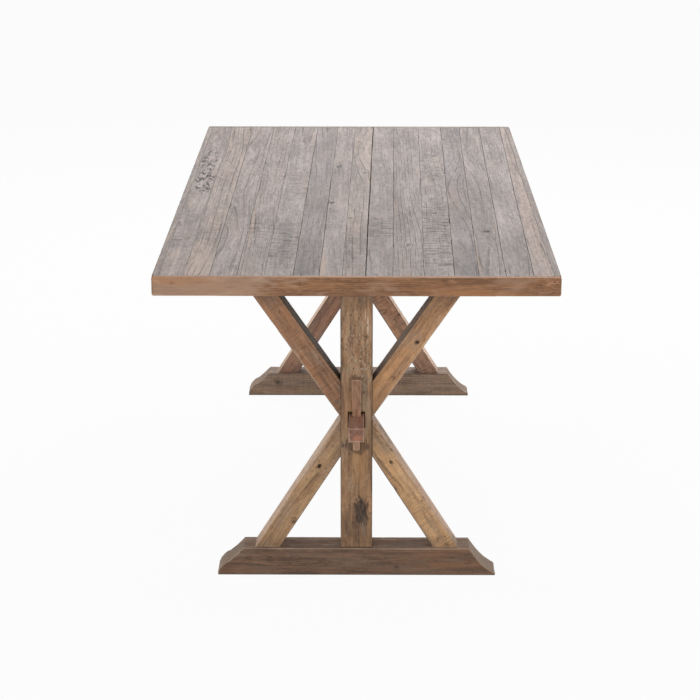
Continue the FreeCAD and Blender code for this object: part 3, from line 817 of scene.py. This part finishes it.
def pin_finish(name, seed, base, ring, along):
    """The start of a small turned or drawn piece's material: fine streaks along its length, and a slight
    change of tone. Returns the material, its nodes, the streaks and the colour."""
    material, pin = new_material(name)
    place = pin.node("ShaderNodeTexCoord", {}, {}, "Object")
    spot = pin.node("ShaderNodeMapping", {},
                    {"Vector": place, "Location": (seed, seed, seed), "Scale": along})
    streak = pin.node("ShaderNodeTexNoise", {}, {"Vector": spot, "Scale": 1.0, "Detail": 3.0})
    colour = streak.step(0.3, 0.7).blend(tone(*base), tone(*ring))
    return material, pin, streak, colour


material, pin, streak, colour = pin_finish("beech_dowel", 5.0, (196, 164, 124), (168, 132, 92),
                                           (400, 400, 60))
bump = pin.node("ShaderNodeBump", {}, {"Height": streak, "Distance": 0.0004})
skin = pin.node("ShaderNodeBsdfPrincipled", {},
                {"Base Color": colour, "Roughness": streak * 0.2 + 0.5, "Normal": bump})
pin.node("ShaderNodeOutputMaterial", {}, {"Surface": skin})
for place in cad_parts["brace_dowels"].material_slots:
    place.material = material


# ---- Batten --------------------------------------------------------------------------------------
# A plain sawn batten across the middle of the boards, underneath, with one screw up into each of them.

low, high = timber_box("batten_middle")
middle = (low + high) / 2
half = (high - low) / 2
axes = ((0, 1, 0), (0, 0, -1), (1, 0, 0))
points, from_faces = carry(
    np.linspace(0.0, 1.0, 190), lambda share, place: (-half[1], half[1], -half[2], half[2]),
    (8, 34, 8, 18), 1.5, 1.2, cross_at(-half[0]), cross_at(half[0]))
knots = [(12.0, 11.0, -260.0, 7.0, 0.2), (-16.0, 11.0, 170.0, 5.0, 0.2)]
sunk, fields = weather(points, from_faces, axes, 800, (10.0, -80.0), 3.8, knots, (), 2.5)
fields["sawn"] = np.ones(points.shape[:-1])
batten = make_piece("batten_middle", points, sunk, fields, axes, middle)
sink_screws(batten, "batten_middle", "batten_screws")
finish = timber_finish("sawn_batten", 37.0, (0, -math.pi / 2, 0), (186, 156, 122), (150, 120, 90),
                       (184, 142, 98), (196, 168, 136), (160, 128, 96), flaws=("sawn",))
fit(batten, finish, "table", "batten_middle")


# ---- Top boards ----------------------------------------------------------------------------------
# Fifteen full-length boards of old softwood, slightly tapered, glued edge to edge. Sun and wear have greyed
# them unevenly, their edges have shrunk apart here and there, and a few keep saw marks, knots and worm scars.

# tones of the sun-greyed faces, from the palest to the deepest
blush = (172, 155, 148)
silver = (161, 150, 147)
fawn = (162, 148, 141)
mauve = (159, 147, 143)
dusk = (153, 142, 139)
slate = (145, 136, 135)
# each board's tone, how cracked it is, about 1 at most, and half the gap to the board on its right
board_looks = [
    (mauve, 0.3, 0.0), (fawn, 0.9, 0.2), (mauve, 1.0, 0.2), (mauve, 0.8, 0.0), (silver, 0.3, 0.2),
    (slate, 0.6, 0.2), (mauve, 0.4, 0.0), (fawn, 0.9, 0.9), (dusk, 0.4, 0.1), (dusk, 1.0, 0.0),
    (silver, 0.2, 0.2), (slate, 1.1, 0.2), (dusk, 0.8, 0.2), (silver, 0.3, 0.2), (blush, 0.3, 0.0),
]
# Flaws in the faces, as x from the left side and y from the front end. Knots have a radius and a hollow.
board_knots = {
    7: [(396, 1200, 4, 0.4)],
    8: [(432, 580, 5, 0.8), (468, 1120, 6, 0.6), (453, 1560, 6, 0.4)],
    9: [(511, 1190, 4, 0.5)],
    10: [(528, 510, 4, 1.0), (570, 300, 5, 0.4)],
    11: [(660, 1355, 6, 0.6), (641, 635, 5, 0.6)],
    13: [(759, 440, 8, 0.3)],
}
# patches have half sizes along x and y, and a strength
board_kerfs = {
    1: [(40, 340, 40, 90, 1.0), (44, 130, 30, 60, 0.5)], 2: [(100, 420, 30, 90, 0.6)],
    4: [(220, 480, 50, 110, 1.1), (215, 1250, 50, 300, 0.6)],
    5: [(285, 300, 60, 280, 1.3), (285, 980, 60, 260, 1.0), (290, 1500, 50, 130, 0.6)],
    7: [(390, 560, 30, 200, 0.6), (392, 1020, 30, 150, 0.5)], 8: [(440, 300, 40, 180, 0.7)],
    9: [(505, 480, 50, 150, 1.0), (500, 1150, 50, 180, 0.5)],
    11: [(635, 420, 80, 430, 1.4), (635, 1250, 80, 240, 1.1)], 13: [(752, 760, 30, 180, 0.5)],
}
board_worms = {
    1: [(42, 1010, 28, 150, 1.5), (40, 1270, 30, 220, 0.9)],
    7: [(398, 1200, 9, 60, 1.2), (384, 760, 8, 50, 1.0)],
}
board_pits = {
    1: [(42, 1120, 30, 300, 1.0)], 2: [(104, 520, 20, 160, 0.6)],
    8: [(432, 330, 14, 260, 1.0), (440, 1100, 20, 300, 0.7)], 9: [(511, 230, 16, 120, 0.8)],
    13: [(759, 440, 24, 90, 0.8)], 14: [(824, 620, 15, 170, 1.9)],
}
# the shade patches darken the boards: partly their own darker tone, and partly painted shade over their near
# ends
board_shade = {
    3: [(140, 480, 30, 260, 0.08)], 6: [(330, 200, 50, 300, 0.2), (345, 900, 50, 600, 0.08)],
    7: [(385, 900, 40, 300, 0.07)], 8: [(450, 250, 50, 400, 0.12)], 9: [(505, 500, 50, 400, 0.08)],
    10: [(550, 150, 40, 200, 0.08), (545, 700, 40, 380, 0.16)], 11: [(650, 800, 50, 300, 0.06)],
    12: [(690, 150, 50, 230, 0.18), (690, 800, 50, 380, 0.15)],
    13: [(759, 440, 14, 40, 0.1), (750, 750, 50, 300, 0.1)],
    14: [(815, 200, 50, 360, 0.13)], 15: [(880, 250, 50, 400, 0.05)],
}
# long splits have half their width, half their length, and a darkness
board_splits = {
    3: [(122, 150, 1.4, 150, 0.6), (150, 70, 1.0, 60, 0.5)],
    4: [(203, 520, 1.5, 170, 0.6), (206, 1130, 1.2, 120, 0.4)],
    8: [(470, 900, 1.2, 130, 0.4)], 12: [(664, 150, 1.5, 130, 0.5), (668, 900, 1.3, 260, 0.45)],
    13: [(718, 820, 1.4, 240, 0.5), (728, 150, 1.2, 110, 0.5)],
    15: [(881, 230, 1.8, 120, 0.5), (884, 1180, 1.8, 70, 0.5)],
}
board_warmth = {
    1: [(40, 120, 40, 160, 0.2)],
    2: [(90, 150, 40, 220, 0.35), (104, 520, 20, 160, 0.3), (115, 810, 6, 14, 0.8)],
    3: [(150, 480, 30, 120, 0.25)], 4: [(197, 480, 5, 330, 0.7), (206, 60, 24, 140, 0.2)],
    7: [(374, 110, 10, 140, 0.7)], 10: [(560, 130, 24, 140, 0.2), (545, 700, 10, 120, 0.4)],
    12: [(690, 820, 30, 160, 0.4)], 13: [(724, 160, 6, 150, 0.9), (724, 420, 5, 180, 0.5)],
    15: [(878, 500, 26, 900, 0.2)],
}
board_flaws = {"sawn": board_kerfs, "wormy": board_worms, "pitted": board_pits, "warm": board_warmth,
               "shade": board_shade}

names = [f"top_board_{number:02d}" for number in range(1, 1 + len(board_looks))]
boxes = [timber_box(name) for name in names]
front_lines = [low[0] for low, high in boxes] + [boxes[-1][1][0]]
rear_lines = [boxes[0][0][0]] + [high[0] for low, high in boxes]
top_corner = timber_box("band_front")[0][:2]
gaps = [0.0] + [gap for *_, gap in board_looks]
# shares of a board's tone, for red, green and blue, in its pale and deep streaks and where the sun hasn't
# greyed it
sun_grey, shade_grey, bare_wood = (1.16, 1.15, 1.145), (0.77, 0.75, 0.735), (0.62, 0.58, 0.55)
board_lean = -2.0  # degrees, as the joints drift
split_depth = 0.5
board_kerf_size = (48.0, 14.0)  # the length and the pitch of the saw's marks


def joint(index, along):
    """Where the joint on the left of a board lies, and how far each side of it has drawn back: a straight
    line between its two ends that wanders less than a millimetre, except against the bands."""
    low, high = boxes[0]
    share = (along - low[1]) / (high[1] - low[1])
    spot = np.stack([np.full(along.shape, 7.3 * index), np.zeros(along.shape), along], -1)
    inner = 0 < index < len(names)
    wander = (0.7 * noise(900 + index, spot, 1.0, 210.0) + 0.25 * noise(930 + index, spot, 1.0, 34.0)) * inner
    drawn = gaps[index] * (1.0 + 0.55 * noise(960 + index, spot, 1.0, 160.0)
                           + 0.35 * noise(990 + index, spot, 1.0, 24.0))
    return front_lines[index] + share * (rear_lines[index] - front_lines[index]) + wander, drawn


def make_board(index):
    """One board: its edges follow the joints, drawn back towards its face so that the joint opens as a
    shallow groove, and its face lies a little lower or higher than its neighbours'."""
    number = index + 1
    low, high = boxes[index]
    thickness = high[2] - low[2]
    draw = np.random.default_rng(1000 + number)
    sink = draw.uniform(0.0, 0.5)

    def outline(share, place):
        along = low[1] + share * (high[1] - low[1])
        lift = np.clip(2.0 * place[:, 1] - 1.0, 0.0, 1.0)
        left, left_drawn = joint(index, along)
        right, right_drawn = joint(index + 1, along)
        return left + left_drawn * lift, right - right_drawn * lift, -thickness / 2, thickness / 2 - sink

    def on_face(places):
        """Places on the board's face, counted from the top's corner, in the board's own axes."""
        return [(x + top_corner[0], thickness / 2, y + top_corner[1], *rest) for x, y, *rest in places]

    points, from_faces = carry(np.linspace(0.0, 1.0, 390), outline, (5, 46, 5, 8), 0.45, 0.8,
                               cross_at(low[1]), cross_at(high[1]))
    axes = ((1, 0, 0), (0, 0, 1), (0, 1, 0))
    middle = (low[0] + high[0]) / 2
    knots = on_face(board_knots.get(number, ()))
    marks = [(*place, board_lean, split_depth, darkness)
             for *place, darkness in on_face(board_splits.get(number, ()))]
    marks += [(draw.uniform(low[0] + 8, high[0] - 8), thickness / 2, draw.uniform(low[1], high[1]),
              draw.uniform(1.2, 3.0), draw.uniform(3, 9), draw.normal(0, 6), draw.uniform(0.2, 0.7),
              draw.uniform(0.15, 0.5)) for _ in range(9)]
    pith = (middle + draw.uniform(-60, 60), draw.uniform(-90, -25))
    sunk, fields = weather(points, from_faces, axes, 1100 + 17 * number, pith, draw.uniform(3.2, 5.2), knots,
                           marks, 3.0, 0.9)
    # the glued edges keep their place, and dust lies along the joints
    glued = step(from_faces[..., 1], 1.0, 3.0) * (1.0 - step(from_faces[..., 0], 0.2, 1.0))
    sunk = sunk * (1.0 - glued)
    for flaw, places in board_flaws.items():
        if number in places:
            fields[flaw] = soft_patches(points, on_face(places[number]))
    dust = 0.55 + 0.45 * noise(1060 + number, points, 30.0, 90.0)
    fields["dark"] = np.maximum(fields["dark"], 0.42 * dust * (1.0 - step(from_faces[..., 0], 0.2, 2.2)))
    # dark takes the shade patches: partly the boards' own tone, partly painted shade over their near ends
    if "shade" in fields:
        fields["dark"] = fields["dark"] + fields.pop("shade")
    look, cracks, _ = board_looks[index]
    lit, shaded, bare = (np.array(look) * share for share in (sun_grey, shade_grey, bare_wood))
    flaws = [flaw for flaw in ("sawn", "wormy", "pitted") if flaw in fields]
    finish = timber_finish(f"greyed_board_{number:02d}", 3.1 * number, (math.pi / 2, 0, 0),
                           (150, 122, 98), bare, (184, 156, 138), (190, 178, 170),
                           (120, 100, 84), (shaded, lit), cracks=cracks, flaws=flaws,
                           kerfs=board_kerf_size)
    origin = (0.0, 0.0, (low[2] + high[2]) / 2)
    board = make_piece(names[index], points, sunk, fields, axes, origin)
    fit(board, finish, "table", names[index])


for index in range(len(names)):
    make_board(index)


# ---- Edge bands ----------------------------------------------------------------------------------
# A band of warm brown softwood glued round the boards on all four sides, deeper than they are. The front and
# rear bands run past the ends of the side bands. The front one's top edge is rubbed orange, and the others'
# are greyed like the boards.

band_axes = {
    "front": ((0, 0, 1), (0, -1, 0), (1, 0, 0)),
    "rear": ((0, 0, 1), (0, 1, 0), (1, 0, 0)),
    "left": ((0, 0, 1), (-1, 0, 0), (0, 1, 0)),
    "right": ((0, 0, 1), (1, 0, 0), (0, 1, 0)),
}
band_knots = {"front": [(9.0, 7.5, -404.0, 4.0, 0.2), (10.0, 7.5, 195.0, 6.0, 0.2),
                        (6.0, 7.5, -124.0, 4.0, 0.1), (2.0, 7.5, 400.0, 5.0, 0.2)]}
# a face's pale, deep and warm tones, the pair of tones of the top edge, and the tone of the rubbed arris
grey_top = ((122, 110, 104), (176, 162, 155))
orange_top = ((146, 104, 76), (184, 140, 106))
band_looks = {
    "front": ((156, 112, 77), (106, 70, 42), (168, 114, 64), orange_top, (190, 140, 104)),
    "rear": ((160, 126, 100), (124, 92, 70), (170, 122, 84), grey_top, (176, 150, 130)),
    "left": ((162, 130, 106), (128, 98, 76), (172, 126, 90), grey_top, (176, 150, 130)),
    "right": ((162, 130, 106), (128, 98, 76), (172, 126, 90), grey_top, (176, 150, 130)),
}

for number, (name, axes) in enumerate(band_axes.items()):
    node = "band_" + name
    low, high = timber_box(node)
    half = np.abs(np.array(axes, float) @ (high - low)) / 2
    end_arris = 4.0 if name in ("front", "rear") else 0.8
    shares = np.linspace(0.0, 1.0, int(half[2] / 1.5))
    shares = np.concatenate([[0.0], shares[2:-2], [1.0]])  # room for the end's own arris
    points, from_faces = carry(shares, lambda share, place: (-half[0], half[0], -half[1], half[1]),
                               (13, 36, 7, 10), 1.2, end_arris, cross_at(-half[2]), cross_at(half[2]))
    dents = np.random.default_rng(1300 + number)
    marks = [(dents.uniform(-19, 19), half[1], dents.uniform(-half[2], half[2]), dents.uniform(1.2, 2.4),
              dents.uniform(4, 14), dents.normal(0, 5), 0.4, dents.uniform(0.15, 0.45)) for _ in range(14)]
    # the arrises of the rear and side bands are darkened as painted shade, and rubbed less
    sunk, fields = weather(points, from_faces, axes, 1400 + 20 * number, (-90.0, -40.0), 4.4,
                           band_knots.get(name, ()), marks, 2.6, 1.0, 0.0 if name == "front" else 0.6)
    fields["dark"] *= 0.45
    fields["ashen"] = (name == "front") * soft_patches(points, [(0.0, half[1], -340.0, 60.0, 190.0, 0.6)])
    chips = step(noise(1390 + number, points, 2.6, 4.0), 0.15, 0.45)
    fields["worn"] += chips * soft_patches(points, [(8.0, half[1], half[2] - 18.0, 14.0, 22.0, 0.7)])
    sunk = sunk * step(points[..., 1] + half[1], 0.2, 1.0)  # the glued face stays flat
    turn = (0, -math.pi / 2, 0) if name in ("front", "rear") else (math.pi / 2, 0, 0)
    pale, deep, warm, top_tones, rubbed = band_looks[name]
    finish = timber_finish("edge_band_" + name, 43.0 + number, turn, pale, deep, warm, rubbed,
                           (120, 88, 66), top_tones, (168, 138, 116), rings=1.6, cracks=0.1)
    band = make_piece(node, points, sunk, fields, axes, (low + high) / 2)
    fit(band, finish, "table", node)


# ---- Screws --------------------------------------------------------------------------------------
# Zinc-plated steel screws driven up through the bearers and the batten into the boards.

material, pin, streak, colour = pin_finish("zinc_plate", 9.0, (168, 166, 158), (198, 196, 190),
                                           (900, 900, 250))
skin = pin.node("ShaderNodeBsdfPrincipled", {},
                {"Base Color": colour, "Metallic": 1.0, "Roughness": streak * 0.3 + 0.25})
pin.node("ShaderNodeOutputMaterial", {}, {"Surface": skin})
for name in ("bearer_screws", "batten_screws"):
    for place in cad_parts[name].material_slots:
        place.material = material


# ---- Floor, light and camera ---------------------------------------------------------------------
# A plain white floor, soft light from all round, a large lamp in front, one overhead and one at each side,
# and a long lens that looks down on the table a little.

floor_reach = 30.0
floor_corners = [(x * floor_reach, y * floor_reach, 0.0) for x, y in ((-1, -1), (1, -1), (1, 1), (-1, 1))]
floor_mesh = bpy.data.meshes.new("floor")
floor_mesh.from_pydata(floor_corners, [], [(0, 1, 2, 3)])
floor = bpy.data.objects.new("floor", floor_mesh)
bpy.context.scene.collection.objects.link(floor)
floor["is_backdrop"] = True
paper_grey = (0.66, 0.66, 0.66, 1.0)
pure_white = (1.0, 1.0, 1.0, 1.0)
paper, ground = new_material("white_paper")
rays = ground.node("ShaderNodeLightPath", {}, {}, "Is Camera Ray")
glossy = ground.node("ShaderNodeLightPath", {}, {}, "Is Glossy Ray")
through = ground.node("ShaderNodeLightPath", {}, {}, "Is Transmission Ray")
matt = ground.node("ShaderNodeBsdfDiffuse", {}, {"Color": paper_grey})
white = ground.node("ShaderNodeEmission", {}, {"Color": pure_white, "Strength": 1.0})
shadow_share = 0.05  # of what a camera sees of the floor: the rest is white
shown = ground.node("ShaderNodeMixShader", {},
                    {0: (rays + glossy + through) * (1.0 - shadow_share), 1: matt, 2: white})
ground.node("ShaderNodeOutputMaterial", {}, {"Surface": shown})
floor_mesh.materials.append(paper)

world = bpy.data.worlds.new("studio")
bpy.context.scene.world = world
world.use_nodes = True
world.node_tree.nodes.clear()
sky = Grain(world.node_tree)
seen = sky.node("ShaderNodeLightPath", {}, {}, "Is Camera Ray")
studio_light = 0.46  # how strongly the studio lights the table: its own background is seen as 1, pure white
strength = seen * (1.0 - studio_light) + studio_light
backdrop = sky.node("ShaderNodeBackground", {}, {"Color": pure_white, "Strength": strength})
sky.node("ShaderNodeOutputWorld", {}, {"Surface": backdrop})

# each lamp's place, the point that it is aimed at, its width in metres and its power in watts
lamps = {
    "front": ((-0.2, -6.2, 1.15), (0.0, 0.0, 0.4), 3.0, 176.0),
    "overhead": ((0.3, 3.2, 3.1), (0.0, 0.7, 0.77), 2.4, 84.0),
    "left": ((-4.2, 0.8, 2.4), (0.0, 0.0, 0.3), 2.0, 52.0),
    "right": ((4.2, 0.8, 2.4), (0.0, 0.0, 0.3), 2.0, 52.0),
}
for name, (place, target, size, power) in lamps.items():
    light = bpy.data.lights.new(name, "AREA")
    light.size = size
    light.energy = power
    lamp = bpy.data.objects.new(name, light)
    lamp.location = place
    way = np.array(target) - np.array(place)
    from_below = math.atan2(math.hypot(way[0], way[1]), -way[2])
    lamp.rotation_euler = (from_below, 0.0, math.atan2(way[1], way[0]) - math.pi / 2)
    bpy.context.scene.collection.objects.link(lamp)

camera_dip = 0.28809  # radians under the level
camera_swing = 0.00705
camera_data = bpy.data.cameras.new("camera")
camera_data.lens = 109.58
camera_data.sensor_width = 36.0
camera = bpy.data.objects.new("camera", camera_data)
camera.location = (0.018, -5.4138, 1.9418)
camera.rotation_euler = (math.pi / 2 - camera_dip, 0.0, camera_swing)
bpy.context.scene.collection.objects.link(camera)
bpy.context.scene.camera = camera
bpy.context.scene.view_settings.view_transform = "Standard"

boxes = {"cad_box": cad_box, "visual_box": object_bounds()}
